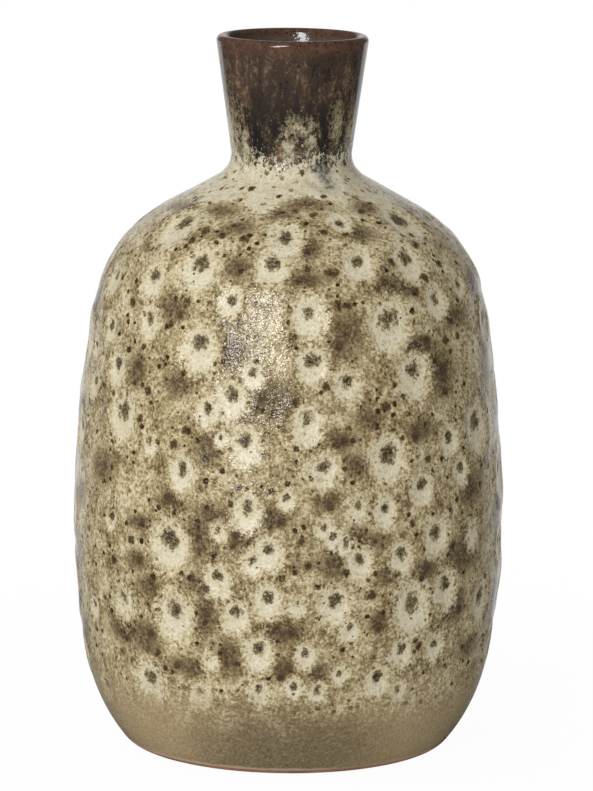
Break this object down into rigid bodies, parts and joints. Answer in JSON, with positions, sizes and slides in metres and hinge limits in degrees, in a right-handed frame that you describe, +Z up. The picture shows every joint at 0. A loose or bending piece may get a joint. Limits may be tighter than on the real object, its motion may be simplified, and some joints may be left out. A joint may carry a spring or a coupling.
{
  "type": "bottle vase",
  "caption": "Bottle vase with a barrel body, sloping shoulder, short flaring neck and rounded lip, in thick cratered glaze over stoneware, standing on a bare clay foot ring.",
  "frame": {"origin": "centre of the foot's resting plane", "axes": "+Z up along the vase's axis, -Y towards the viewer of the picture, +X to the viewer's right"},
  "size_m": [0.18, 0.18, 0.3],
  "materials": {
    "bare_clay": "matte",
    "slip": "matte",
    "crater_glaze": "gloss",
    "dark_glaze": "gloss",
    "liner_glaze": "gloss"
  },
  "bodies": {
    "root": {"foot_ring": "bare_clay", "base_floor": "bare_clay", "body_wall": "bare_clay", "shoulder": "bare_clay", "neck_collar": "bare_clay", "luting_slip": "slip", "body_glaze": "crater_glaze", "neck_glaze": "dark_glaze", "liner_glaze": "liner_glaze"}
  },
  "joints": []
}
